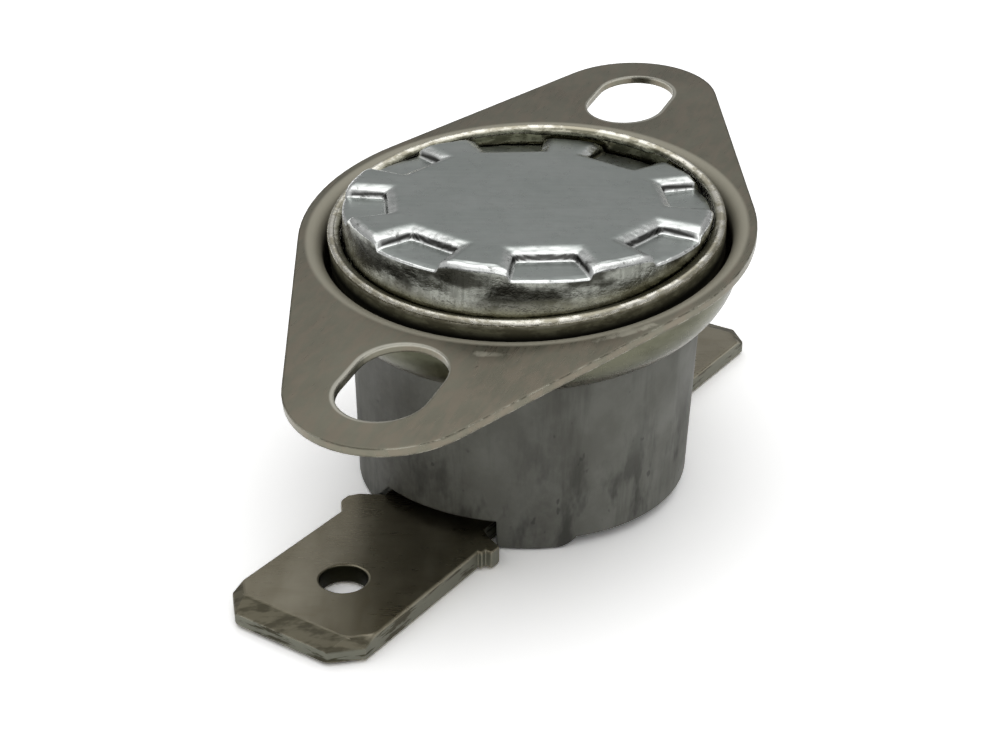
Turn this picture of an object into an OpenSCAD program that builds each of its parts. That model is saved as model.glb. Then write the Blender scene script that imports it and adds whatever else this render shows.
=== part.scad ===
// High limit thermostat: a ceramic snap-action switch under an aluminium cap, with two
// push-on terminals and a loose two-eared bracket around its head.
// Millimetres, +Z towards the cap. The origin is on the body's axis, at the level of its feet.
// The front terminal points along -Y and the rear one along +Y.

/* [Body] */
// Radius of the ceramic body just under the cap
body_r = 7.34; // [7:0.02:8.9]
// Height of the body, from its feet to the cap's top face
total_h = 12.5; // [11.8:0.1:16]
// Draft of the body's wall: how much smaller its radius is at the bottom
body_draft = 0.25; // [0:0.05:0.4]
// Height of the feet under the body's bottom face
foot_h = 0.38; // [0.3:0.02:0.5]
// Length of a foot along the body's edge
foot_l = 3.2; // [2.6:0.1:3.6]
// Width of the straight side of the opening in the wall, from the terminal's middle
mouth_side = 2.92; // [2.7:0.02:3.1]
// Thickness of the body's wall around the switch chamber
wall_t = 1.74; // [1.5:0.02:2]
// Height of the chamber's floor above the feet
floor_z = 3.2; // [3:0.1:3.6]

/* [Cap] */
// How far the cap's side stands out past the body's wall
cap_over = 0.19; // [0:0.01:0.3]
// Thickness of the cap's aluminium sheet
cap_t = 0.4; // [0.3:0.05:0.5]
// Height of the cap, from the lower edge of its skirt to its top face
cap_h = 2.55; // [2.4:0.05:2.9]
// Radius of the cap's shoulder
shoulder_r = 0.32; // [0.2:0.02:0.36]
// Number of pressed dents around the shoulder
dent_count = 8; // [6:1:10]
// How far a dent reaches in from the cap's side
dent_in = 1.81; // [1.4:0.01:2]
// Width of a dent at its inner wall
dent_inner_w = 2.35; // [1.8:0.05:2.6]
// Width of a dent where it runs out of the cap's side
dent_outer_w = 3.2; // [2.4:0.05:3.4]
// Depth of a dent
dent_depth = 0.45; // [0.3:0.05:0.5]
// Angle of the first dent from the +X axis
dent_turn = -6; // [-45:1:45]

/* [Bracket] */
// Distance between the centres of the two fixing slots
slot_pitch = 24; // [23.5:0.1:30]
// Width of a fixing slot
slot_w = 3.5; // [3:0.1:4]
// Length of a fixing slot, end to end
slot_l = 4.86; // [4.2:0.02:6]
// Radius of an ear
ear_r = 3.95; // [3.7:0.05:4.5]
// How far the plate reaches past the collar beside the body
plate_margin = 0.62; // [0.3:0.02:1.5]
// Thickness of the bracket's sheet
sheet = 0.34; // [0.3:0.02:0.5]
// Depth of the collar below the plate's face
collar_h = 2.8; // [2.4:0.1:3.4]
// Radius of the rolled lower half of the collar
roll_r = 2.2; // [1.8:0.1:2.4]
// Radius of the lip where the plate turns down into the collar
lip_r = 0.55; // [0.3:0.05:0.7]
// Width of the groove between the collar and its turned-up hem
groove_w = 0.28; // [0.2:0.01:0.4]
// How far the hem stands above the plate's face
hem_rise = 0.4; // [0.2:0.05:0.6]
// How far the cap stands above the middle of the plate
cap_rise = 1.12; // [1.0:0.02:1.3]
// Angle between the ears' line and the terminals' line
bracket_turn = 9; // [-45:1:45]
// Angle by which the loose bracket has tipped towards the front ear
bracket_tip = 8.7; // [0:0.1:8.7]
// Angle to which the loose bracket can tip before it meets the head
tip_limit = 8.7; // [8.7:0.1:10]
// Clearance that the hem keeps from the cap and the body when it has tipped that far
hem_gap = 0.09; // [0.05:0.01:0.15]

/* [Terminals] */
// Distance of a terminal's tip from the axis
tab_reach = 16.4; // [15.5:0.1:20]
// Width of the blade
tab_w = 6.3; // [4.8:0.1:6.3]
// Thickness of the blade
tab_t = 0.8; // [0.7:0.05:1]
// Height of the blade's underside above the feet
tab_z = 0.1; // [0.05:0.01:0.2]
// Distance of the detent hole from the tip
tab_hole_in = 3.8; // [3.4:0.1:4.2]
// Radius of the detent hole
tab_hole_r = 0.9; // [0.8:0.05:1]
// Width of the neck that lies in the body
neck_w = 4.9; // [4.2:0.1:5]
// How far the stops reach past each side of the blade
stop_out = 0.5; // [0.3:0.05:0.7]
// Length of the corner cuts at the tip
tip_cut = 1; // [0.6:0.05:1.4]
// Length of the bevel on top of the tip
tip_bevel = 0.9; // [0.6:0.05:1.2]
// Depth of the bevel on top of the tip
tip_drop = 0.25; // [0.15:0.01:0.3]
// Radius of a rivet's shank
rivet_r = 1; // [0.8:0.05:1.2]

/* [Switch] */
// Radius of the transfer pin
pin_r = 1; // [0.8:0.05:1.3]
// Radial clearance of the pin in its guide
pin_gap = 0.05; // [0.02:0.01:0.1]
// Travel of the pin when the disc snaps
pin_travel = 0.45; // [0.3:0.05:0.5]
// Thickness of the bimetal disc
disc_t = 0.2; // [0.15:0.05:0.3]
// Height of the disc's dome
disc_dish = 0.3; // [0.2:0.05:0.35]
// Radial clearance of the disc inside its seat's rim
disc_gap = 0.2; // [0.1:0.05:0.3]
// Thickness of the moving contact's spring arm
arm_t = 0.2; // [0.15:0.05:0.3]
// Width of the spring arm
arm_w = 2.6; // [2.2:0.1:3]
// Radius of a contact button
contact_r = 0.9; // [0.7:0.05:1]
// Height of a contact button
contact_h = 0.5; // [0.4:0.05:0.6]
// Thickness of the two contact carriers' sheet
strip_t = 0.45; // [0.4:0.05:0.5]
// Width of the two contact carriers
strip_w = 3.4; // [3:0.1:3.6]

/* [Hidden] */
$fn = 96;
arc_steps = 12;
over = 1;

front = -90;
rear = 90;

// Cap and head
fit_gap = 0.02;
cap_r = body_r + cap_over;
cap_in_r = cap_r - cap_t;
dent_r = cap_r - dent_in;
bump_z = total_h - dent_depth - cap_t;
skirt_z = total_h - cap_h;
ceiling_z = total_h - cap_t;
head_r = cap_in_r - fit_gap;
chamber_r = body_r - wall_t;
seat_w = 1;
guide_t = 0.4;
guide_rim_w = 0.55;
guide_plug_h = 0.9;
guide_dish_d = 0.45;
head_z = skirt_z + 0.55;
disc_z = head_z + guide_t + fit_gap;
rim_r = cap_in_r - fit_gap;
disc_r = rim_r - guide_rim_w - disc_gap;
edge_r = 0.3;

bottom_r = body_r - body_draft;
bottom_edge_z = foot_h + edge_r;

// Bracket, in its own frame: the plate's face is at z = 0 and the ears lie along X
// The sleeve inside the hem is wide enough to tip to its limit, about the point of its axis where it
// comes equally close to the cap's shoulder behind and to the body's wall in front
deck_z = total_h - cap_rise;
hem_corner = 0.2;
bead_in = 0.16;
bead_out = sheet - bead_in;
sleeve_low = hem_corner * 0.8 - collar_h;
shoulder_z = cap_rise - shoulder_r;
low_z = deck_z + sleeve_low * cos(tip_limit) - body_r * sin(tip_limit);
low_r = body_r - body_draft * (skirt_z - low_z) / (skirt_z - bottom_edge_z);
shoulder_reach = shoulder_r + (cap_r - shoulder_r) * cos(tip_limit);
hem_in_r = (2 * hem_gap + low_r + shoulder_reach + (shoulder_z - sleeve_low) * sin(tip_limit))
    / (1 + cos(tip_limit));
tip_z = shoulder_z + (hem_gap + shoulder_reach - hem_in_r) / sin(tip_limit);
hem_out_r = hem_in_r + sheet;
collar_in_r = hem_out_r + groove_w;
collar_out_r = collar_in_r + sheet;
plate_r = collar_out_r + plate_margin;
roll_x = collar_out_r - roll_r;
roll_end_r = hem_in_r + hem_corner;
roll_end_drop = sqrt(pow(roll_r, 2) - pow(roll_end_r - roll_x, 2));
roll_z = roll_end_drop - collar_h;
under_r = 0.25;

// Terminals and rivets
tab_gap = 0.1;
tab_top = tab_z + tab_t;
neck_x = sqrt(pow(bottom_r, 2) - pow(neck_w / 2, 2));
flare_run = 0.3;
flare_w = 0.45;
stop_x = bottom_r + 0.2;
stop_l = 0.85;
stop_run = 0.6;
step_x = stop_x + 0.6;
step_w = 0.2;
low_bevel = 0.05;
mouth_top = tab_top + 0.43;
mouth_in = 1.3;
mouth_lean_side = mouth_side - 0.71;
head_t = 0.4;
sink_h = tab_t / 2;
sink_gap = 0.02;
low_head_r = rivet_r + 0.5;
high_head_r = rivet_r + 0.2;

// Feet: each starts beside the opening in the wall
foot_w = 1.6;
foot_start_r = 0.4;
foot_end_r = 2;
foot_at = asin(mouth_side / bottom_r) + asin(foot_l / 2 / bottom_r);

// Switch: the carriers stand on the chamber's floor, against its wall, and the rest follows from them
arm_z = floor_z + 3.2;
arm_top = arm_z + arm_t;
chamber_gap = 0.13;
arm_end_gap = 0.85;
arm_lap = 0.1;
shelf_l = 1.8;
foot_in = 1.7;
strip_out_x = sqrt(pow(chamber_r, 2) - pow(strip_w / 2, 2)) - chamber_gap;
strip_z = floor_z;
rivet_x = strip_out_x - strip_t - high_head_r - 0.15;
strip_in_x = rivet_x - foot_in;
tab_inner_x = rivet_x - foot_in - 0.1;
hinge_x = shelf_l - strip_out_x;
contact_x = strip_out_x - strip_t - arm_end_gap - arm_lap - contact_r;
contact_z = arm_top + contact_h;
bridge_z = contact_z + contact_h;
tongue_in_x = contact_x - contact_r;
pin_low = arm_top + 0.03;
pin_high = disc_z + disc_dish - 0.07;
rivet_gap = 0.05;

// Points of an arc in a profile, from one angle to another
function arc(cx, cy, r, a0, a1) = [for (i = [0:arc_steps])
    let (a = a0 + (a1 - a0) * i / arc_steps) [cx + r * cos(a), cy + r * sin(a)]];

// Angle at which the roll's circle reaches a given radius from the axis
function roll_angle(r, at) = -acos((at - roll_x) / r);

module rounded_slot(width, length, height) {
    run = length - width;
    linear_extrude(height) {
        translate([-run / 2, 0]) circle(d = width);
        translate([run / 2, 0]) circle(d = width);
        square([run, width], center = true);
    }
}

// The bracket's outline: two ears joined to a round middle by their common tangents
module plate_outline() {
    ear_x = slot_pitch / 2;
    t = acos((plate_r - ear_r) / ear_x);
    middle = [plate_r * cos(t), plate_r * sin(t)];
    ear = [ear_x + ear_r * cos(t), ear_r * sin(t)];
    circle(plate_r);
    for (side = [-1, 1]) translate([side * ear_x, 0]) circle(ear_r);
    polygon([ear, middle, [-middle.x, middle.y], [-ear.x, ear.y],
             [-ear.x, -ear.y], [-middle.x, -middle.y], [middle.x, -middle.y], [ear.x, -ear.y]]);
}

// Collar and hem as one bent sheet: lip, outer wall, rolled bottom and the wall that stands up inside it
module collar() {
    flat_r = collar_in_r + lip_r;
    inner_roll = roll_r - sheet;
    rotate_extrude() polygon(concat(
        [[flat_r + over / 4, 0], [flat_r + over / 4, -sheet], [collar_out_r + under_r, -sheet]],
        arc(collar_out_r + under_r, -sheet - under_r, under_r, 90, 180),
        arc(roll_x, roll_z, roll_r, 0, roll_angle(roll_r, roll_end_r)),
        [[hem_in_r, sleeve_low]],
        arc(hem_in_r + bead_in, hem_rise - bead_in, bead_in, 180, 90),
        arc(hem_out_r - bead_out, hem_rise - bead_out, bead_out, 90, 0),
        arc(roll_x, roll_z, inner_roll, roll_angle(inner_roll, hem_out_r), 0),
        arc(flat_r, -lip_r, lip_r, 180, 90)
    ));
}

// Places the bracket on the head: turned about the axis, and tipped
module on_head() {
    rotate([0, 0, front + bracket_turn])
        translate([0, 0, deck_z + tip_z])
            rotate([0, bracket_tip, 0])
                translate([0, 0, -tip_z]) children();
}

module mounting_bracket() {
    color("#8b8878") on_head() {
        difference() {
            translate([0, 0, -sheet]) linear_extrude(sheet) plate_outline();
            translate([0, 0, -sheet - over]) cylinder(r = collar_in_r + lip_r, h = sheet + 2 * over);
            for (side = [-1, 1]) translate([side * slot_pitch / 2, 0, -sheet - over])
                rounded_slot(slot_w, slot_l, sheet + 2 * over);
        }
        collar();
    }
}

// One dent as a wedge that opens outwards, or with grow the bump that it makes on the inside
module dent(grow) {
    outer = cap_r + over;
    spread = (dent_outer_w - dent_inner_w) / (cap_r - dent_r);
    inner_half = (dent_inner_w - grow * spread) / 2 + grow;
    outer_half = (dent_inner_w + (outer - dent_r) * spread) / 2 + grow;
    translate([0, 0, total_h - dent_depth - grow]) linear_extrude(dent_depth + grow + over)
        polygon([[dent_r - grow, -inner_half], [outer, -outer_half], [outer, outer_half], [dent_r - grow, inner_half]]);
}

module dents(grow) {
    for (i = [0:dent_count - 1]) rotate([0, 0, dent_turn + i * 360 / dent_count]) dent(grow);
}

module sensing_cap() {
    color("#b9bcc0") difference() {
        rotate_extrude() polygon(concat(
            [[0, total_h], [0, skirt_z], [cap_r, skirt_z]],
            arc(cap_r - shoulder_r, total_h - shoulder_r, shoulder_r, 0, 90)
        ));
        difference() {
            translate([0, 0, skirt_z - over]) cylinder(r = cap_in_r, h = ceiling_z - skirt_z + over);
            dents(cap_t);
        }
        dents(0);
    }
}

// Domed towards the cap, the way it lies when cold
module bimetal_disc() {
    dome_r = (pow(disc_r, 2) + pow(disc_dish, 2)) / (2 * disc_dish);
    half = asin(disc_r / dome_r);
    color("#a09a8a") rotate_extrude() polygon(concat(
        arc(0, disc_z + disc_dish - dome_r, dome_r, 90 - half, 90),
        arc(0, disc_z + disc_dish - dome_r, dome_r + disc_t, 90, 90 - half)
    ));
}

// Plug with a flange: it closes the chamber, guides the pin and carries the disc's edge.
// The bumps that the dents make inside the cap hold it down at its rim.
module guide_plate() {
    flange_z = head_z;
    seat_z = flange_z + guide_t;
    dish_r = disc_r - seat_w;
    plug_r = chamber_r - fit_gap;
    hole_r = pin_r + pin_gap;
    color("#7a4a33") rotate_extrude() polygon([
        [hole_r, flange_z - guide_plug_h], [plug_r, flange_z - guide_plug_h], [plug_r, flange_z],
        [rim_r, flange_z], [rim_r, bump_z], [rim_r - guide_rim_w, bump_z],
        [rim_r - guide_rim_w, seat_z], [dish_r, seat_z], [dish_r, seat_z - guide_dish_d],
        [hole_r, seat_z - guide_dish_d]
    ]);
}

module transfer_pin() {
    color("#efe9dc") {
        translate([0, 0, pin_low + pin_r]) cylinder(r = pin_r, h = pin_high - pin_low - pin_r);
        translate([0, 0, pin_low + pin_r]) sphere(pin_r);
    }
}

// The way that a terminal's neck lies in the body's underside, and the taller mouth in its wall with
// one straight side and one that leans outwards
module terminal_channel() {
    half = neck_w / 2 + tab_gap;
    reach = body_r + over;
    lean = mouth_top + over;
    translate([tab_inner_x - tab_gap, -half, -over]) cube([reach, 2 * half, tab_top + over]);
    translate([bottom_r - mouth_in, 0, 0]) rotate([90, 0, 90]) linear_extrude(reach)
        polygon([[mouth_side, -over], [mouth_side, mouth_top], [-mouth_lean_side, mouth_top],
                 [-mouth_lean_side - lean, -over]]);
}

// A foot along +X: a piece of the wall that reaches down, steep at the opening and sloping at its other end
module foot() {
    half = foot_l / 2;
    foot_edge = 0.25;
    top = bottom_edge_z;
    intersection() {
        rotate_extrude() polygon(concat(
            [[bottom_r - foot_w, top], [bottom_r - foot_w, 0]],
            arc(bottom_r - foot_edge, foot_edge, foot_edge, -90, 0),
            [[bottom_r, top]]
        ));
        rotate([90, 0, 90]) linear_extrude(body_r) polygon(concat(
            [[-half, top + over]],
            arc(foot_start_r - half, foot_start_r, foot_start_r, 180, 270),
            arc(half - foot_end_r * sin(40), foot_end_r, foot_end_r, 270, 310),
            [[half, top + over]]
        ));
    }
}

module ceramic_body() {
    color("#d8d8d2") difference() {
        union() {
            rotate_extrude() polygon(concat(
                [[0, foot_h]],
                arc(bottom_r - edge_r, foot_h + edge_r, edge_r, -90, 0),
                [[body_r, skirt_z], [head_r, skirt_z], [head_r, head_z], [0, head_z]]
            ));
            for (side = [front, rear], swing = [0, 1]) rotate([0, 0, side]) mirror([0, swing, 0])
                rotate([0, 0, foot_at]) foot();
        }
        translate([0, 0, floor_z]) cylinder(r = chamber_r, h = total_h);
        for (side = [front, rear]) rotate([0, 0, side]) {
            terminal_channel();
            translate([rivet_x, 0, -over]) cylinder(r = rivet_r + rivet_gap, h = floor_z + 2 * over);
        }
    }
}

// A terminal along +X: neck with its countersunk rivet hole, stops that are sheared stepped on one side
// and sloping on the other, and a blade with cut corners and a bevelled tip
module terminal() {
    neck = neck_w / 2;
    blade = tab_w / 2;
    stop = blade + stop_out;
    corner_run = tip_bevel / 2;
    intersection() {
        difference() {
            translate([0, 0, tab_z]) linear_extrude(tab_t) polygon([
                [tab_inner_x, -neck + 1], [tab_inner_x + 1, -neck], [neck_x, -neck],
                [neck_x + flare_run, -neck - flare_w], [stop_x - 0.05, -stop + 0.25], [stop_x + 0.3, -stop],
                [stop_x + stop_l, -stop], [stop_x + stop_l + stop_run, -blade],
                [tab_reach - tip_cut, -blade], [tab_reach, -blade + tip_cut],
                [tab_reach, blade - tip_cut], [tab_reach - tip_cut, blade],
                [stop_x + stop_l, blade], [stop_x + stop_l, blade + step_w], [step_x, blade + step_w],
                [step_x, stop], [stop_x, stop], [neck_x + flare_run, neck + flare_w],
                [neck_x, neck], [tab_inner_x + 1, neck], [tab_inner_x, neck - 1]]);
            translate([tab_reach - tab_hole_in, 0, tab_z - over]) cylinder(r = tab_hole_r, h = tab_t + 2 * over);
            translate([rivet_x, 0, tab_z]) rotate_extrude() polygon([
                [0, -over], [low_head_r + sink_gap, -over], [low_head_r + sink_gap, 0],
                [rivet_r + rivet_gap, sink_h], [rivet_r + rivet_gap, tab_t + over], [0, tab_t + over]]);
            for (side = [-1, 1])
                translate([tab_reach - tip_cut / 2, side * (blade - tip_cut / 2), tab_top - tip_drop])
                    rotate([0, 0, side * 45]) rotate([0, atan(tip_drop / corner_run), 0])
                        translate([-2, -2, 0]) cube([4, 4, 2]);
        }
        translate([0, 0, tab_z]) rotate([90, 0, 0]) linear_extrude(4 * stop, center = true)
            polygon([[0, 0], [tab_reach - 4 * low_bevel, 0], [tab_reach, low_bevel],
                     [tab_reach, tab_t - tip_drop], [tab_reach - tip_bevel, tab_t], [0, tab_t]]);
    }
}

module front_terminal() {
    color("#8d8873") rotate([0, 0, front]) terminal();
}

module rear_terminal() {
    color("#8d8873") rotate([0, 0, rear]) terminal();
}

// A rivet that clamps a terminal under the floor to a contact carrier above it: its lower head is
// countersunk in the terminal
module rivet() {
    top = floor_z + strip_t;
    translate([rivet_x, 0, 0]) rotate_extrude() polygon([
        [0, tab_z], [low_head_r, tab_z], [rivet_r, tab_z + sink_h], [rivet_r, top],
        [high_head_r, top], [high_head_r, top + head_t], [0, top + head_t]]);
}

module front_rivet() {
    color("#a8a28c") rotate([0, 0, front]) rivet();
}

module rear_rivet() {
    color("#a8a28c") rotate([0, 0, rear]) rivet();
}

// A folded contact carrier along +X: a riveted foot, an upright and a shelf at the given height
module carrier(shelf_z, shelf_in_x) {
    difference() {
        rotate([90, 0, 0]) linear_extrude(strip_w, center = true) polygon([
            [strip_in_x, strip_z], [strip_out_x, strip_z], [strip_out_x, shelf_z], [shelf_in_x, shelf_z],
            [shelf_in_x, shelf_z - strip_t], [strip_out_x - strip_t, shelf_z - strip_t],
            [strip_out_x - strip_t, strip_z + strip_t], [strip_in_x, strip_z + strip_t]]);
        translate([rivet_x, 0, strip_z - over]) cylinder(r = rivet_r + rivet_gap, h = strip_t + 2 * over);
    }
}

module contact_bridge() {
    color("#c2a24c") rotate([0, 0, front]) carrier(bridge_z + strip_t, tongue_in_x);
}

module fixed_contact() {
    color("#dcdcdc") rotate([0, 0, front]) translate([contact_x, 0, contact_z]) cylinder(r = contact_r, h = contact_h);
}

module contact_post() {
    color("#c2a24c") rotate([0, 0, rear]) carrier(arm_top, -hinge_x);
}

// The spring arm starts at the edge of the post's shelf, where it bends
module contact_arm() {
    arm_out = contact_x + contact_r + arm_lap;
    color("#b5763a") rotate([0, 0, front]) translate([hinge_x, -arm_w / 2, arm_z])
        cube([arm_out - hinge_x, arm_w, arm_t]);
}

module moving_contact() {
    color("#dcdcdc") rotate([0, 0, front]) translate([contact_x, 0, arm_top]) cylinder(r = contact_r, h = contact_h);
}

mounting_bracket();
sensing_cap();
bimetal_disc();
guide_plate();
transfer_pin();
ceramic_body();
front_terminal();
rear_terminal();
front_rivet();
rear_rivet();
contact_bridge();
fixed_contact();
contact_post();
contact_arm();
moving_contact();
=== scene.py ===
import math
import bpy
import numpy as np
from mathutils import Vector, Matrix, noise

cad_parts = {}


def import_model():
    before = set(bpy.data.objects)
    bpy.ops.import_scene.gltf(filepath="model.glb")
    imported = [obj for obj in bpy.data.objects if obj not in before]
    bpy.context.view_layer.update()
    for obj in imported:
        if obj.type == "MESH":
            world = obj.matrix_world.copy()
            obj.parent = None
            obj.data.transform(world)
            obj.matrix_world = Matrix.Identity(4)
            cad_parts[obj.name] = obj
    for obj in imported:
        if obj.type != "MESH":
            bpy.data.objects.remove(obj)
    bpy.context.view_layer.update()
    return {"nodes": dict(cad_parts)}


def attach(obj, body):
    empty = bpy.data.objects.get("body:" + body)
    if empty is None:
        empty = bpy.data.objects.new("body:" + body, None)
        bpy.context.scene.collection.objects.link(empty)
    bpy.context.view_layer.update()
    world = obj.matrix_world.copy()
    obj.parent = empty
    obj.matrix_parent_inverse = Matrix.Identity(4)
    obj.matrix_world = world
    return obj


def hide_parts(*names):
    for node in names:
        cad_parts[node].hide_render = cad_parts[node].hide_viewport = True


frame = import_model()
nodes = frame["nodes"]
MM = 0.001

# Display tones, 0 to 255. A pair is the two ends of a blend
TONES = {
    "plate": ((112, 109, 96), (126, 124, 110)),
    "plate_dimple": (134, 122, 108),
    "plate_streak": (104, 104, 92),
    "plate_pit": (60, 57, 48),
    "plate_edge_wear_and_highlight": ((74, 72, 60), (196, 194, 178)),
    "bead_foot": ((96, 93, 74), (130, 128, 106)),
    "bead_crown_highlight": ((180, 175, 156), (240, 237, 226)),
    "groove_painted_shade": (26, 25, 18),
    "sleeve": ((92, 91, 74), (146, 144, 124)),
    "collar": ((78, 79, 64), (104, 104, 88)),
    "slot_rim_highlight": (200, 198, 186),
    "painted_glint": (190, 186, 170),
    "lip": (158, 154, 138),
    "blade": ((150, 143, 124), (172, 166, 148)),
    "blade_streak": (130, 122, 101),
    "blade_broad": (122, 115, 94),
    "blade_cut": ((70, 67, 54), (112, 108, 92)),
    "blade_side_shade": ((122, 123, 112), (62, 60, 48)),
    "blade_edge_wear_and_highlight": (190, 186, 168),
    "blade_hole_shade": (38, 37, 26),
    "cap_top": ((174, 181, 177), (186, 191, 188)),
    "cap_rim_highlight": (240, 242, 240),
    "cap_dark_mottle": (84, 86, 80),
    "cap_dent_wall_shade": (40, 38, 34),
    "cap_side_reflection": ((62, 62, 56), (150, 152, 144)),
    "cap_drawn": (44, 44, 38),
    "cap_bead_reflection": (108, 106, 86),
    "ceramic": ((84, 84, 77), (122, 123, 115)),
    "ceramic_grain": (124, 124, 117),
    "ceramic_streak": (70, 70, 63),
    "ceramic_patch": (80, 78, 70),
    "ceramic_smudge": (48, 48, 42),
    "ceramic_speck": (46, 46, 42),
}

# The bracket lies turned and tipped on the body: the middle of its plate, its axis, and the line of its ears
BRACKET_POINT = (0.0, -0.0001, 0.01137)
BRACKET_AXIS = (0.0237, -0.1494, 0.9885)
EAR_AXIS = (-0.15, 0.977, 0.1513)
# Its slots: half their pitch and half their straight part, in metres
SLOT_AT = 0.012
SLOT_HALF = 0.00068
# Two painted glints on its plate beside the bead: the middle, the direction and half the length of each
PAINTED_GLINTS = (((0.00394, -0.00872, 0.00998), (0.91, 0.41, 0.0), 0.0008),
          ((0.00758, -0.00512, 0.01043), (0.553, 0.828, 0.1), 0.0015))
PAINTED_GLINT_HALF_WIDTH = 0.00022
# The terminals: the hole's distance from the axis, how far points are merged, and how their corners are rounded
TERMINAL_HOLE_AT = 0.0126
MERGE = 0.000001
CORNER_R = 0.00012
CORNER_STEPS = 3
CORNER_DEG = 25

# How far the grain of the metals is turned about Z, in radians
BRACKET_TURN = 1.4
LENGTHWISE = -0.57
BROAD_TURN = 1.0

# The cap, in millimetres
CAP_R = 7.53
CAP_TOP = 12.5
CAP_FOOT = 9.95
CAP_WALL = 0.4
SHOULDER_R = 0.32
DENTED_SHOULDER_R = 0.14
DENTS = 8
DENT_TURN = -6
DENT_IN_R = 5.72
DENT_INNER_W = 2.35
DENT_OUTER_W = 3.2
DENT_DEPTH = 0.45
DENT_CORNER = 0.16
DENT_FOOT = 0.05
ROLL_W = 0.58
ROLL_DROP = 0.15
FLARE = 0.12
FLARE_TOP = 11.35
FLARE_H = 0.9
FOOT_ROUND = 0.05
UNEVEN = 0.022
# From this depth on, a pressed place is fully uneven, and so are the upper steps of the shoulder
UNEVEN_FROM = 0.05
UNEVEN_STEPS = 8
# Its grid: points in each of the sectors, steps over the roll and the shoulder and down the skirt, the coarse loops
# in the middle of the top, where the fine ones begin and how many they are, and the loops under the top
PER_SECTOR = 92
ROLL_STEPS = 12
SHOULDER_STEPS = 12
SKIRT_STEPS = 18
TOP_LOOPS = [0.9, 1.8, 2.8, 3.8, 4.6, 5.0, 5.15]
FINE_FROM = 5.22
FINE_LOOPS = 40
UNDER_LOOPS = (6.8, 6.5, 6.2, 5.9, 5.7, 5.6, 5.5, 5.4, 5.3, 5.2, 5.0, 4.0, 2.0)

# The crown of the bead, in millimetres from the bracket's axis and over BRACKET_POINT
RING_POINTS = 360
RING_GAP = 0.035
RING_OUT = 7.72
RING_NEAREST = 7.5
RING_FARTHEST = 7.69
RING_STEP = 0.01
RING_PROBES = (0.1, 0.2, 0.34)
RING_CREST = [(8.0, 0.2), (8.1, 0.24), (8.09, 0.3), (8.05, 0.36), (7.99, 0.405), (7.93, 0.42), (7.87, 0.405),
              (7.81, 0.37)]
RING_LEAN_FROM = 7.81
RING_LEAN = ((0.35, 0.355), (0.65, 0.345), (0.92, 0.33), (1.0, 0.29))
RING_BASE = 0.12
RING_BASE_OUT = 7.8
RING_UNDERCUT = 0.02

# The studio: brightness by height, from straight down at 0 to straight up at 1
SKY = ((0.0, 0.22), (0.4, 0.35), (0.68, 0.5), (0.82, 0.85), (1.0, 1.0))
FLOOR_HALF = 2.0
FLOOR_WHITE = 0.8
FLOOR_LIFT = 0.85

# The camera, in degrees and millimetres
AZIMUTH_DEG = -57.08
ELEVATION_DEG = 27.04
ROLL_DEG = 0.89
TARGET_MM = (3.2575, -6.9001, 8.17)
DISTANCE_MM = 63.79


def tone(r, g, b):
    """A display colour, 0 to 255, as the linear colour that the shaders use."""
    shares = (v / 255 for v in (r, g, b))
    return tuple(v / 12.92 if v <= 0.04045 else ((v + 0.055) / 1.055) ** 2.4 for v in shares)


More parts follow.
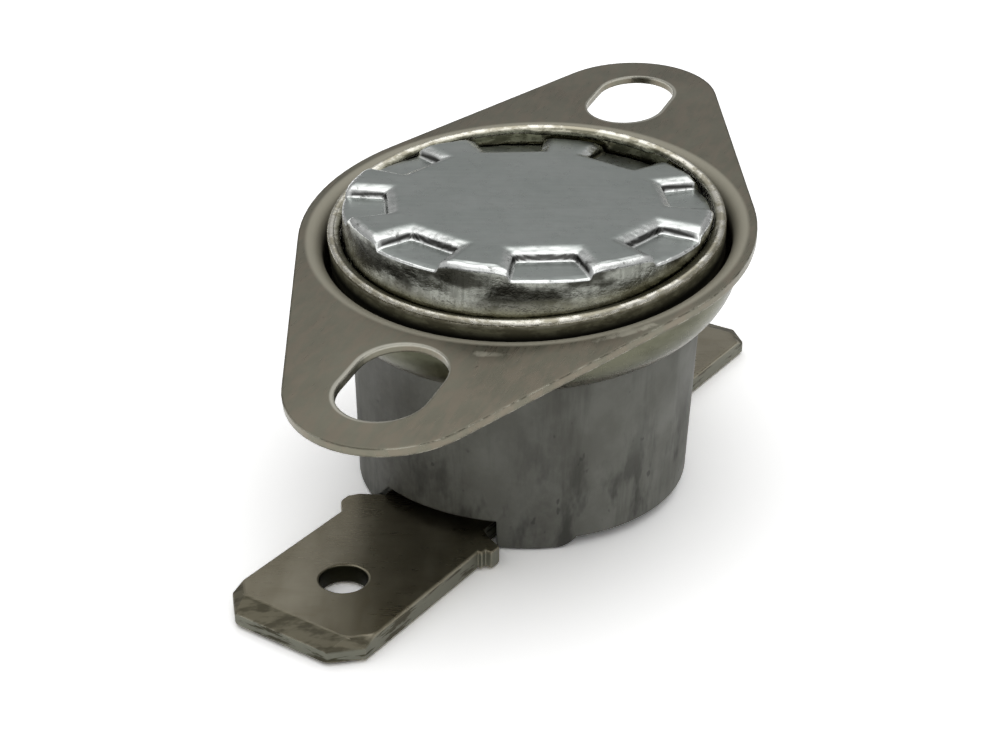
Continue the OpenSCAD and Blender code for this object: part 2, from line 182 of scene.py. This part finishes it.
class Graph:
    """A small helper that builds a node material step by step."""

    def __init__(self, name):
        self.mat = bpy.data.materials.new(name)
        self.mat.use_nodes = True
        self.tree = self.mat.node_tree
        self.tree.nodes.clear()
        self.out = self.add("OutputMaterial")
        self.bsdf = self.add("BsdfPrincipled")
        self.link(self.bsdf.outputs[0], self.out.inputs[0])
        self.coord = self.add("TexCoord").outputs["Object"]

    def add(self, kind):
        return self.tree.nodes.new("ShaderNode" + kind)

    def link(self, a, b):
        self.tree.links.new(a, b)

    def mapping(self, scale, turn=0.0):
        """The object's coordinates, turned about Z and then scaled."""
        source = self.coord
        if turn:
            n = self.add("Mapping")
            n.inputs["Rotation"].default_value = (0, 0, turn)
            self.link(source, n.inputs["Vector"])
            source = n.outputs[0]
        n = self.add("Mapping")
        n.inputs["Scale"].default_value = scale
        self.link(source, n.inputs["Vector"])
        return n.outputs[0]

    def noise(self, scale, detail, rough, turn=0.0):
        """Noise with about this many grains a metre: one number, or one for each axis, which may be turned about Z."""
        vector = self.coord
        if isinstance(scale, tuple):
            vector, scale = self.mapping(scale, turn), 1.0
        n = self.add("TexNoise")
        n.inputs["Scale"].default_value = scale
        n.inputs["Detail"].default_value = detail
        n.inputs["Roughness"].default_value = rough
        self.link(vector, n.inputs["Vector"])
        return n.outputs["Fac"]

    def ramp(self, fac, start, end, low=0.0, high=1.0):
        """Eases from one level to another while the factor goes from start to end."""
        n = self.add("ValToRGB")
        n.color_ramp.interpolation = "EASE"
        for stop, position, level in zip(n.color_ramp.elements, (start, end), (low, high)):
            stop.position = position
            stop.color = (level, level, level, 1)
        self.link(fac, n.inputs[0])
        return n.outputs[0]

    def mix(self, fac, a, b):
        n = self.add("Mix")
        n.data_type = "RGBA"
        for slot, v in ((0, fac), (6, a), (7, b)):
            sock = n.inputs[slot]
            if isinstance(v, (int, float)):
                sock.default_value = v if slot == 0 else (v, v, v, 1)
            elif isinstance(v, tuple):
                sock.default_value = (*v, 1)
            else:
                self.link(v, sock)
        return n.outputs[2]

    def blend(self, fac, name):
        """Between the two tones of a pair."""
        first, second = TONES[name]
        return self.mix(fac, tone(*first), tone(*second))

    def paint(self, colour, zone, amount, over):
        """So much of a tone, by its name, or of a blend over the colour in a zone."""
        over = tone(*TONES[over]) if isinstance(over, str) else over
        return self.mix(self.times(zone, amount), colour, over)

    def math(self, op, a, b=None):
        n = self.add("Math")
        n.operation = op
        for i, v in enumerate((a, b)):
            if isinstance(v, (int, float)):
                n.inputs[i].default_value = v
            elif v is not None:
                self.link(v, n.inputs[i])
        return n.outputs[0]

    def times(self, a, b):
        return self.math("MULTIPLY", a, b)

    def squares(self, a, b):
        return self.math("ADD", self.times(a, a), self.times(b, b))

    def length(self, a, b):
        return self.math("SQRT", self.squares(a, b))

    def split(self, vector):
        n = self.add("SeparateXYZ")
        self.link(vector, n.inputs[0])
        return n.outputs

    def position(self):
        return self.split(self.coord)

    def upward(self):
        """How far the surface faces up: 1 up, 0 sideways, -1 down."""
        return self.split(self.add("NewGeometry").outputs["Normal"])[2]

    def step(self, value, low, high):
        """0 up to low, 1 from high on, smooth between. Low may be the larger one."""
        n = self.add("MapRange")
        n.interpolation_type = "SMOOTHSTEP"
        n.inputs[1].default_value = low
        n.inputs[2].default_value = high
        self.link(value, n.inputs[0])
        return n.outputs[0]

    def vector_math(self, op, a, b=None):
        n = self.add("VectorMath")
        n.operation = op
        for i, v in enumerate((a, b)):
            if isinstance(v, tuple):
                n.inputs[i].default_value = v
            elif v is not None:
                self.link(v, n.inputs[i])
        return n.outputs["Value" if op in ("DOT_PRODUCT", "LENGTH") else "Vector"]

    def around(self, point, axis):
        """Distance from an axis, and height along it above a point."""
        rel = self.vector_math("SUBTRACT", self.coord, point)
        height = self.vector_math("DOT_PRODUCT", rel, axis)
        return self.vector_math("LENGTH", self.vector_math("CROSS_PRODUCT", rel, axis)), height

    def bump(self, height, distance, strength, normal=None):
        n = self.add("Bump")
        n.inputs["Strength"].default_value = strength
        n.inputs["Distance"].default_value = distance
        self.link(height, n.inputs["Height"])
        if normal is not None:
            self.link(normal, n.inputs["Normal"])
        return n.outputs[0]

    def edge(self, radius, samples=4):
        """The normal as if the edges were rounded by a radius."""
        n = self.add("Bevel")
        n.samples = samples
        n.inputs["Radius"].default_value = radius
        return n.outputs[0]

    def edge_wear_and_highlight(self, radius):
        """One where the softened normal leaves the true one: the sharp edges, where plating is worn bright and an edge
        highlight is painted.
        """
        true_normal = self.add("NewGeometry").outputs["True Normal"]
        same = self.vector_math("DOT_PRODUCT", self.edge(radius, 6), true_normal)
        return self.step(same, 0.995, 0.9)

    def set(self, **values):
        for key, v in values.items():
            sock = self.bsdf.inputs[key.replace("_", " ")]
            if isinstance(v, (int, float)):
                sock.default_value = v
            else:
                self.link(v, sock)
        return self.mat


def scratched(g, turn, bevel):
    """Rolled sheet: soft streaks along one direction, faint scratches, shallow dimples, softened edges."""
    streak = g.noise((300, 1300, 500), detail=3, rough=0.6, turn=turn)
    fine = g.noise((900, 7000, 3000), detail=2, rough=0.7, turn=turn)
    dimple = g.noise((900, 2300, 1200), detail=3, rough=0.6, turn=turn)
    bump = g.bump(fine, distance=0.000002, strength=0.2, normal=g.edge(bevel))
    bump = g.bump(streak, distance=0.000005, strength=0.3, normal=bump)
    bump = g.bump(dimple, distance=0.000012, strength=0.35, normal=bump)
    return streak, fine, dimple, bump


def bracket_metal():
    """Dull nickel plate. The bead around the cap has a painted highlight on its crown, the collar below the plate
    painted shade.
    """
    g = Graph("bracket_plate")
    streak, fine, dimple, bump = scratched(g, BRACKET_TURN, bevel=0.00013)
    blotch = g.noise(170, detail=5, rough=0.6)
    pit = g.ramp(g.noise(1300, detail=2, rough=0.5), 0.74, 0.78)
    patchy = g.ramp(g.noise((1100, 1100, 2600), detail=4, rough=0.7), 0.42, 0.6)
    stain = g.ramp(g.noise((260, 260, 700), detail=4, rough=0.6), 0.35, 0.65)

    # Zones, by distance from the bracket's axis and height over its plate, in metres
    radius, height = g.around(BRACKET_POINT, BRACKET_AXIS)
    bead = g.times(g.step(radius, 0.00835, 0.00815), g.step(height, -0.0011, -0.0004))
    crown = g.step(height, 0.00005, 0.00034)
    deep = g.times(bead, g.step(height, 0.00002, -0.0004))
    sleeve = g.step(radius, 0.00784, 0.00768)
    collar = g.times(g.step(height, -0.00035, -0.0008), g.step(radius, 0.0083, 0.0085))
    groove = g.times(g.times(g.step(radius, 0.0078, 0.0079), g.step(radius, 0.0091, 0.0089)),
                     g.times(g.step(height, -0.0011, -0.0005), g.step(height, 0.00025, 0.0001)))
    lip = g.times(groove, g.step(radius, 0.00824, 0.00834))

    colour = g.blend(g.ramp(blotch, 0.3, 0.72), "plate")
    colour = g.paint(colour, g.ramp(dimple, 0.4, 0.62), 0.4, "plate_dimple")
    colour = g.paint(colour, g.ramp(streak, 0.5, 0.75), 0.18, "plate_streak")
    colour = g.paint(colour, pit, 0.7, "plate_pit")
    # Painted highlight on the bead's crown; below it the bead's own tone
    colour = g.mix(bead, colour, g.mix(crown, g.blend(patchy, "bead_foot"), g.blend(patchy, "bead_crown_highlight")))
    # Painted shade deep in the groove beside the bead
    colour = g.mix(deep, colour, tone(*TONES["groove_painted_shade"]))
    # Painted shade on the bead's inner side, where it leans against the cap
    colour = g.paint(colour, sleeve, 0.85, g.blend(patchy, "sleeve"))
    # Painted shade on the collar below the plate, varied by a patchy stain
    colour = g.mix(collar, colour, g.blend(stain, "collar"))
    # Worn plating with a painted highlight along the sharp edges
    colour = g.paint(colour, g.edge_wear_and_highlight(0.0001), 0.6, g.blend(patchy, "plate_edge_wear_and_highlight"))

    # A painted highlight on the rim around each slot, by distance from the slot's middle line
    off, along = g.around(BRACKET_POINT, EAR_AXIS)
    from_middle = g.math("ABSOLUTE", g.math("SUBTRACT", g.math("ABSOLUTE", along), SLOT_AT))
    past = g.math("MAXIMUM", g.math("SUBTRACT", from_middle, SLOT_HALF), 0.0)
    rim = g.times(g.step(g.length(past, off), 0.00189, 0.0018), g.step(height, -0.00012, -0.00005))
    colour = g.paint(colour, rim, 0.7, "slot_rim_highlight")

    # The painted glints are ellipses with a broken outline
    for spot, direction, half in PAINTED_GLINTS:
        off, along = g.around(spot, direction)
        far = g.squares(g.math("DIVIDE", along, half), g.math("DIVIDE", off, PAINTED_GLINT_HALF_WIDTH))
        far = g.math("ADD", far, g.math("SUBTRACT", g.times(patchy, -0.6), -0.3))
        colour = g.paint(colour, g.step(far, 1.0, 0.0), 0.7, "painted_glint")
    # Painted light on the lip's wall in the groove, which lies in shade
    colour = g.paint(colour, lip, 0.85, "lip")

    plate_rough = g.ramp(g.mix(0.5, blotch, fine), 0.25, 0.75, low=0.24, high=0.38)
    bead_rough = g.ramp(patchy, 0.2, 0.8, low=0.3, high=0.16)
    rough = g.mix(groove, g.mix(bead, plate_rough, bead_rough), 0.5)
    metallic = g.mix(g.times(groove, 0.6), 1.0, 0.0)
    bump = g.bump(g.times(patchy, bead), distance=0.00001, strength=0.5, normal=bump)
    return g.set(Base_Color=colour, Metallic=metallic, Roughness=rough, Normal=bump)


def terminal_metal():
    """Flat plated brass: brown-olive, with a rougher sheared bevel at the tip, bright worn edges with a painted
    highlight, and painted shade on the sheared sides and in the hole.
    """
    g = Graph("terminal_plate")
    streak, fine, dimple, bump = scratched(g, LENGTHWISE, bevel=0.00006)
    blotch = g.noise(240, detail=5, rough=0.6)
    broad = g.ramp(g.noise((130, 520, 300), detail=3, rough=0.5, turn=BROAD_TURN), 0.42, 0.6)
    crack = g.ramp(g.noise((420, 420, 2600), detail=4, rough=0.7), 0.52, 0.6)

    # Zones: the cut tip, the sheared sides and the wall of the hole
    pos = g.position()
    out = g.math("ABSOLUTE", pos[1])
    flatness = g.math("ABSOLUTE", g.upward())
    bevel = g.times(g.step(flatness, 0.985, 0.95), g.step(out, 0.0148, 0.0152))
    cut = g.math("MAXIMUM", g.step(out, 0.01545, 0.0156), bevel)
    side = g.ramp(flatness, 0.1, 0.4, low=1.0, high=0.0)
    hole = g.step(g.length(pos[0], g.math("SUBTRACT", out, TERMINAL_HOLE_AT)), 0.00098, 0.00092)

    colour = g.blend(g.ramp(blotch, 0.3, 0.72), "blade")
    colour = g.paint(colour, g.ramp(streak, 0.48, 0.7), 0.25, "blade_streak")
    colour = g.paint(colour, broad, 0.35, "blade_broad")
    colour = g.paint(colour, cut, 0.85, g.blend(g.ramp(dimple, 0.4, 0.6), "blade_cut"))
    # Painted shade on the sheared sides, broken by dark cracks
    colour = g.paint(colour, side, 0.85, g.blend(crack, "blade_side_shade"))
    # Worn plating with a painted highlight along the sharp edges
    colour = g.paint(colour, g.edge_wear_and_highlight(0.0001), g.ramp(dimple, 0.4, 0.6, low=0.1, high=0.7), "blade_edge_wear_and_highlight")
    # Painted shade on the wall of the hole
    colour = g.mix(hole, colour, tone(*TONES["blade_hole_shade"]))
    flat_rough = g.ramp(g.mix(0.5, blotch, fine), 0.25, 0.75, low=0.24, high=0.36)
    rough = g.mix(g.math("MAXIMUM", cut, side), flat_rough, 0.58)
    return g.set(Base_Color=colour, Metallic=1.0, Roughness=rough, Normal=bump)


def cap_metal():
    """Pressed aluminium: smooth on top, shiny and mottled at the rims with a painted highlight, painted shade on the
    dents' walls, dark and mirror-like on the side with painted reflections, among them the bead's low down.
    """
    g = Graph("cap_metal")
    grain = g.noise(2600, detail=4, rough=0.65)
    brush = g.noise((500, 5200, 900), detail=3, rough=0.6, turn=LENGTHWISE)
    blotch = g.noise(420, detail=5, rough=0.6)
    mottle = g.noise((1500, 1500, 1900), detail=4, rough=0.7)
    dark_mottle = g.ramp(mottle, 0.56, 0.68)
    cloud = g.ramp(g.noise((420, 420, 900), detail=4, rough=0.6), 0.4, 0.6)
    drawn = g.ramp(g.noise((3400, 3400, 260), detail=3, rough=0.6), 0.42, 0.62)

    # Zones: what lies level, the rims around it, the dents' walls, the side and its foot
    pos = g.position()
    radius = g.length(pos[0], pos[1])
    up = g.upward()
    rim = g.math("SUBTRACT", 1.0, g.step(up, 0.9, 0.995))
    wall = g.times(g.step(radius, 0.00735, 0.0072), g.step(up, 0.75, 0.45))
    side = g.times(g.step(radius, 0.0073, 0.0075), g.step(up, 0.5, 0.1))
    low = g.times(side, g.step(g.around(BRACKET_POINT, BRACKET_AXIS)[1], 0.001, 0.0004))

    colour = g.blend(g.ramp(g.mix(0.4, blotch, brush), 0.3, 0.7), "cap_top")
    # Painted highlight on all that is not level: the rims around the dents and the shoulder
    colour = g.mix(rim, colour, tone(*TONES["cap_rim_highlight"]))
    # A darker mottle that breaks up the painted rim highlight
    colour = g.paint(colour, g.times(dark_mottle, rim), 0.75, "cap_dark_mottle")
    # Painted shade on the dents' steep walls
    colour = g.paint(colour, wall, 0.9, "cap_dent_wall_shade")
    # Painted cloudy reflections, mostly dark, on the cap's side
    colour = g.mix(side, colour, g.blend(cloud, "cap_side_reflection"))
    colour = g.paint(colour, g.times(side, drawn), 0.35, "cap_drawn")
    # A painted olive reflection of the bead, low on the cap's side
    colour = g.paint(colour, low, 0.8, "cap_bead_reflection")
    rough = g.mix(rim, g.ramp(grain, 0.3, 0.7, low=0.27, high=0.33), g.ramp(mottle, 0.35, 0.7, low=0.14, high=0.34))
    bump = g.bump(blotch, distance=0.000005, strength=0.25)
    bump = g.bump(g.mix(0.4, grain, brush), distance=0.000003, strength=0.4, normal=bump)
    bump = g.bump(g.times(mottle, rim), distance=0.00005, strength=0.55, normal=bump)
    return g.set(Base_Color=colour, Metallic=1.0, Roughness=rough, Normal=bump)


def ceramic():
    """Unglazed grey ceramic with soft upright streaks, smudges towards its foot and dark specks."""
    g = Graph("ceramic")
    streak = g.noise((600, 600, 90), detail=5, rough=0.65)
    wide = g.ramp(g.noise((190, 190, 40), detail=3, rough=0.6), 0.35, 0.65)
    blotch = g.noise(300, detail=4, rough=0.6)
    grain = g.noise(2400, detail=3, rough=0.6)
    patch = g.ramp(g.noise(620, detail=4, rough=0.6), 0.36, 0.64)
    smudge = g.ramp(g.noise((700, 700, 280), detail=4, rough=0.6), 0.47, 0.62)
    speck = g.ramp(g.noise((1700, 1700, 1000), detail=2, rough=0.6), 0.68, 0.74)
    low = g.step(g.position()[2], 0.0072, 0.0012)

    colour = g.blend(wide, "ceramic")
    colour = g.paint(colour, g.ramp(grain, 0.35, 0.7), 0.4, "ceramic_grain")
    colour = g.paint(colour, g.ramp(streak, 0.48, 0.66), 0.5, "ceramic_streak")
    colour = g.paint(colour, patch, 0.3, "ceramic_patch")
    colour = g.paint(colour, g.times(smudge, low), 0.75, "ceramic_smudge")
    colour = g.paint(colour, speck, 0.6, "ceramic_speck")
    bump = g.bump(g.noise(900, detail=5, rough=0.65), distance=0.00002, strength=0.4, normal=g.edge(0.00014))
    bump = g.bump(streak, distance=0.00003, strength=0.35, normal=bump)
    return g.set(Base_Color=colour, Roughness=g.ramp(blotch, 0.3, 0.7, low=0.55, high=0.75), Normal=bump)


def plain(name, light, dark, rough, metallic):
    """Inner pieces that never show: simple, but still with grain."""
    g = Graph(name)
    grain = g.noise(900, detail=4, rough=0.6)
    bump = g.bump(grain, distance=0.000006, strength=0.5, normal=g.edge(0.00004))
    return g.set(Base_Color=g.mix(grain, dark, light), Metallic=metallic,
                 Roughness=g.ramp(grain, 0.3, 0.7, low=rough - 0.06, high=rough + 0.08), Normal=bump)


def add_piece(name, verts, faces):
    """A smooth-shaded object from points in millimetres."""
    mesh = bpy.data.meshes.new(name)
    mesh.from_pydata([(x * MM, y * MM, z * MM) for x, y, z in verts], [], faces)
    mesh.validate()
    for poly in mesh.polygons:
        poly.use_smooth = True
    obj = bpy.data.objects.new(name, mesh)
    bpy.context.scene.collection.objects.link(obj)
    return obj


def skirt_radius(z):
    """The outside of the cap's side, which flares towards its foot."""
    u = np.clip((FLARE_TOP - z) / FLARE_H, 0, 1)
    return CAP_R + FLARE * u * u * (3 - 2 * u)


def wall_profile():
    """How deep the pressed sheet lies at a distance into a dent: a soft roll, a steep wall, a small foot."""
    dist, deep = [-ROLL_W], [0.0]
    for i in range(1, ROLL_STEPS + 1):
        u = i / ROLL_STEPS
        dist.append(-ROLL_W + u * (ROLL_W - 0.03))
        deep.append(ROLL_DROP * u * u)
    for at, left in ((0.04, 1.0), (0.06, 0.5), (0.09, 0.15), (0.13, 0.03), (0.2, 0.0)):
        dist.append(at)
        deep.append(DENT_DEPTH - left * DENT_FOOT)
    return dist, deep


def cap_skin():
    """The cap as one closed pressed sheet on a fine polar grid: rolled rims around the dents and a soft shoulder."""
    sector = 2 * math.pi / DENTS
    n = DENTS * PER_SECTOR
    spread = (DENT_OUTER_W - DENT_INNER_W) / (CAP_R - DENT_IN_R)
    lean = math.cos(math.atan(spread / 2))
    dist, deep = wall_profile()
    angles = np.arange(n) * sector / PER_SECTOR + math.radians(DENT_TURN)
    local = (np.arange(n) * sector / PER_SECTOR + sector / 2) % sector - sector / 2

    def drop(radius):
        """How deep the sheet is pressed in on a circle."""
        x = radius * np.cos(local)
        y = np.abs(radius * np.sin(local))
        inner = x - DENT_IN_R
        flank = (DENT_INNER_W / 2 + (x - DENT_IN_R) * spread / 2 - y) * lean
        h = np.clip(0.5 + 0.5 * (flank - inner) / DENT_CORNER, 0, 1)
        return np.interp(flank * (1 - h) + inner * h - DENT_CORNER * h * (1 - h), dist, deep)

    rings = []

    def ring(radius, z, dented=None):
        """One loop of the sheet. Where it is pressed, it is a little uneven, and always inside the true form."""
        radius = np.asarray(radius, float) * np.ones(n)
        z = np.asarray(z, float) * np.ones(n)
        if dented is not None:
            at = np.stack([radius * np.cos(angles), radius * np.sin(angles), z], 1)
            dip = np.array([noise.noise(Vector(p) * 1.7) + 0.6 * noise.noise(Vector(p) * 4.1) + 0.9 for p in at])
            z = z - UNEVEN * np.clip(dip, 0, 2) * np.clip(np.asarray(dented, float) / UNEVEN_FROM, 0, 1)
        rings.append((radius, z))

    # The top, from its middle out
    fine = list(np.linspace(FINE_FROM, CAP_R - 0.42, FINE_LOOPS)) + list(np.linspace(CAP_R - 0.4, CAP_R - 0.34, 3))
    for r in TOP_LOOPS + fine:
        ring(r, CAP_TOP - drop(r), drop(r) * (drop(r) < DENT_DEPTH - 0.03))

    # The shoulder, sharper where it runs over a dent
    at_rim = drop(CAP_R - 0.05)
    soft = SHOULDER_R + (DENTED_SHOULDER_R - SHOULDER_R) * np.clip(at_rim / DENT_DEPTH, 0, 1)
    for i in range(1, SHOULDER_STEPS + 1):
        a = math.radians(90 * i / SHOULDER_STEPS)
        r = CAP_R - soft + soft * math.sin(a)
        r = np.where(soft < SHOULDER_R - 0.01, np.minimum(np.maximum(r, CAP_R - 0.33), CAP_R), r)
        ring(r, CAP_TOP - at_rim - soft + soft * math.cos(a), np.full(n, UNEVEN_FROM * (i <= UNEVEN_STEPS)))

    # The skirt, its foot and its inner side
    low = rings[-1][1]
    for i in range(1, SKIRT_STEPS + 1):
        z = low + (CAP_FOOT + FOOT_ROUND - low) * i / SKIRT_STEPS
        ring(skirt_radius(z), z)
    ring(CAP_R + FLARE - 0.015, CAP_FOOT + 0.015)
    ring(CAP_R + FLARE - FOOT_ROUND, CAP_FOOT)
    ring(CAP_R - CAP_WALL + FOOT_ROUND, CAP_FOOT)
    inner_r = CAP_R - CAP_WALL
    ring(inner_r, CAP_FOOT + FOOT_ROUND)
    under = CAP_TOP - CAP_WALL - drop(inner_r + 0.2)
    ring(inner_r, under - 0.1)
    ring(inner_r - 0.03, under - 0.03)
    ring(inner_r - 0.1, under)
    for r in UNDER_LOOPS:
        ring(r, CAP_TOP - CAP_WALL - drop(min(r + 0.3, 6.9)) * (r > 5.1))

    verts = [(0, 0, CAP_TOP)]
    for radius, z in rings:
        verts += [(radius[i] * math.cos(angles[i]), radius[i] * math.sin(angles[i]), z[i]) for i in range(n)]
    verts.append((0, 0, CAP_TOP - CAP_WALL))
    faces = [(0, 1 + i, 1 + (i + 1) % n) for i in range(n)]
    for k in range(len(rings) - 1):
        a, b = 1 + k * n, 1 + (k + 1) * n
        faces += [(a + i, b + i, b + (i + 1) % n, a + (i + 1) % n) for i in range(n)]
    last = 1 + (len(rings) - 1) * n
    faces += [(last + i, len(verts) - 1, last + (i + 1) % n) for i in range(n)]
    obj = add_piece("cap_skin", verts, faces)
    obj.data.materials.append(cap_metal())
    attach(obj, "thermostat")
    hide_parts("sensing_cap")


def bead_ring():
    """The crown of the bead: it leans in to the cap's side with a small clearance, so that no deep gap shows."""
    axis = Vector(BRACKET_AXIS).normalized()
    side = Vector((0, 1, 0)).cross(axis).normalized()
    centre = np.array(BRACKET_POINT) / MM
    up, across, rise = (np.array(v) for v in (axis, side, axis.cross(side)))
    n = RING_POINTS
    turn = np.arange(n) * 2 * math.pi / n
    ray = np.cos(turn)[:, None] * across + np.sin(turn)[:, None] * rise

    def at(radius, height):
        return centre + ray * np.broadcast_to(radius, (n,))[:, None] + height * up

    # How far in the ring may reach at each point: step by step, as long as it stays clear of the cap
    inner = np.full(n, RING_OUT)
    for reach in np.arange(RING_OUT, RING_NEAREST, -RING_STEP):
        free = np.ones(n, bool)
        for height in RING_PROBES:
            p = at(reach, height)
            beside = np.hypot(p[:, 0], p[:, 1]) > skirt_radius(p[:, 2]) + RING_GAP
            free &= beside | (p[:, 2] > CAP_TOP + RING_GAP)
        inner = np.where(free & (inner < reach + 1.5 * RING_STEP), reach, inner)
    inner = np.minimum(inner, RING_FARTHEST)
    loops = [at(radius, height) for radius, height in RING_CREST]
    loops += [at(RING_LEAN_FROM + (inner - RING_LEAN_FROM) * share, height) for share, height in RING_LEAN]
    loops += [at(inner + RING_UNDERCUT, RING_BASE), at(RING_BASE_OUT, RING_BASE)]
    verts = [tuple(p) for loop in loops for p in loop]
    m = len(loops)
    faces = [(k * n + i, k * n + (i + 1) % n, ((k + 1) % m) * n + (i + 1) % n, ((k + 1) % m) * n + i)
             for k in range(m) for i in range(n)]
    obj = add_piece("bead_ring", verts, faces)
    obj.data.materials.append(MATERIALS["mounting_bracket"])
    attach(obj, "bracket")


MATERIALS = {
    "mounting_bracket": bracket_metal(),
    "sensing_cap": plain("cap_aluminium", (0.6, 0.61, 0.62), (0.5, 0.51, 0.52), 0.35, 1.0),
    "bimetal_disc": plain("bimetal_strip", (0.62, 0.6, 0.55), (0.5, 0.48, 0.44), 0.3, 1.0),
    "guide_plate": plain("brown_resin", (0.2, 0.09, 0.05), (0.13, 0.06, 0.03), 0.55, 0.0),
    "transfer_pin": plain("white_ceramic", (0.8, 0.78, 0.72), (0.7, 0.68, 0.62), 0.6, 0.0),
    "ceramic_body": ceramic(),
    "front_terminal": terminal_metal(),
    "front_rivet": plain("rivet_plate", (0.5, 0.47, 0.36), (0.38, 0.36, 0.28), 0.38, 1.0),
    "contact_bridge": plain("rolled_brass", (0.7, 0.52, 0.22), (0.55, 0.4, 0.16), 0.32, 1.0),
    "fixed_contact": plain("silver", (0.85, 0.84, 0.8), (0.7, 0.69, 0.66), 0.3, 1.0),
    "contact_arm": plain("spring_bronze", (0.62, 0.36, 0.18), (0.48, 0.27, 0.13), 0.32, 1.0),
}
SAME = {"rear_terminal": "front_terminal", "rear_rivet": "front_rivet", "contact_post": "contact_bridge",
        "moving_contact": "fixed_contact"}


def dress_nodes():
    """Materials for the CAD objects, and softened corners for the terminals."""
    for name, obj in nodes.items():
        obj.data.materials.clear()
        obj.data.materials.append(MATERIALS[SAME.get(name, name)])
    for name in ("front_terminal", "rear_terminal"):
        weld = nodes[name].modifiers.new("weld", "WELD")
        weld.merge_threshold = MERGE
        soft = nodes[name].modifiers.new("soft", "BEVEL")
        soft.width = CORNER_R
        soft.segments = CORNER_STEPS
        soft.limit_method = "ANGLE"
        soft.angle_limit = math.radians(CORNER_DEG)


def floor():
    """A white floor. Seen directly, in a reflection or through glass it is lifted, so that it reads as the ground."""
    mesh = bpy.data.meshes.new("floor")
    s = FLOOR_HALF
    mesh.from_pydata([(-s, -s, 0), (s, -s, 0), (s, s, 0), (-s, s, 0)], [], [(0, 1, 2, 3)])
    obj = bpy.data.objects.new("floor", mesh)
    bpy.context.scene.collection.objects.link(obj)
    mat = bpy.data.materials.new("floor")
    mat.use_nodes = True
    tree = mat.node_tree
    tree.nodes.clear()
    out, diffuse, lift, both, path, pick = (tree.nodes.new("ShaderNode" + kind) for kind in (
        "OutputMaterial", "BsdfDiffuse", "BsdfDiffuse", "AddShader", "LightPath", "MixShader"))
    diffuse.inputs[0].default_value = (FLOOR_WHITE, FLOOR_WHITE, FLOOR_WHITE, 1)
    lift.inputs[0].default_value = (FLOOR_LIFT, FLOOR_LIFT, FLOOR_LIFT, 1)
    seen = path.outputs["Is Camera Ray"]
    for ray in ("Is Glossy Ray", "Is Transmission Ray"):
        either = tree.nodes.new("ShaderNodeMath")
        either.operation = "MAXIMUM"
        tree.links.new(seen, either.inputs[0])
        tree.links.new(path.outputs[ray], either.inputs[1])
        seen = either.outputs[0]
    for source, target in ((diffuse.outputs[0], both.inputs[0]), (lift.outputs[0], both.inputs[1]),
                           (seen, pick.inputs[0]), (diffuse.outputs[0], pick.inputs[1]),
                           (both.outputs[0], pick.inputs[2]), (pick.outputs[0], out.inputs[0])):
        tree.links.new(source, target)
    mesh.materials.append(mat)


def world():
    """A grey studio that brightens towards the top."""
    studio = bpy.data.worlds.new("studio")
    bpy.context.scene.world = studio
    studio.use_nodes = True
    tree = studio.node_tree
    tree.nodes.clear()
    out, bg, coord, sep, ramp = (tree.nodes.new("ShaderNode" + kind) for kind in (
        "OutputWorld", "Background", "TexCoord", "SeparateXYZ", "ValToRGB"))
    stops = ramp.color_ramp.elements
    for position, _ in SKY[1:-1]:
        stops.new(position)
    for stop, (_, level) in zip(stops, SKY):
        stop.color = (level, level, level, 1)
    bg.inputs[1].default_value = 1.0
    for source, target in ((coord.outputs["Generated"], sep.inputs[0]), (sep.outputs[2], ramp.inputs[0]),
                           (ramp.outputs[0], bg.inputs[0]), (bg.outputs[0], out.inputs[0])):
        tree.links.new(source, target)


def lamp(name, at, aim, size, watts):
    """A round lamp at one point that faces another."""
    data = bpy.data.lights.new(name, "AREA")
    data.shape = "DISK"
    data.size = size
    data.energy = watts
    obj = bpy.data.objects.new(name, data)
    bpy.context.scene.collection.objects.link(obj)
    obj.location = at
    obj.rotation_mode = "QUATERNION"
    obj.rotation_quaternion = (Vector(aim) - Vector(at)).to_track_quat("-Z", "Y")


def camera():
    """The photograph's camera, as it was fitted."""
    data = bpy.data.cameras.new("camera")
    data.sensor_width = 36.0
    data.lens = 60.87
    data.clip_start = 0.002
    data.clip_end = 10.0
    obj = bpy.data.objects.new("camera", data)
    bpy.context.scene.collection.objects.link(obj)
    azimuth, elevation, roll = (math.radians(v) for v in (AZIMUTH_DEG, ELEVATION_DEG, ROLL_DEG))
    level = math.cos(elevation)
    back = Vector((level * math.cos(azimuth), level * math.sin(azimuth), math.sin(elevation)))
    right = Vector((0, 0, 1)).cross(back).normalized()
    up = back.cross(right)
    right, up = math.cos(roll) * right + math.sin(roll) * up, math.cos(roll) * up - math.sin(roll) * right
    m = Matrix((right, up, back)).transposed().to_4x4()
    m.translation = Vector(TARGET_MM) * MM + back * DISTANCE_MM * MM
    obj.matrix_world = m
    bpy.context.scene.camera = obj


cap_skin()
bead_ring()
dress_nodes()
floor()
world()
camera()
lamp("key", at=(-0.04, 0.06, 0.28), aim=(0, 0, 0.008), size=0.36, watts=0.15)
lamp("fill", at=(0.12, -0.16, 0.16), aim=(0, 0, 0.006), size=0.2, watts=0.05)

bpy.context.scene.view_settings.view_transform = "Standard"
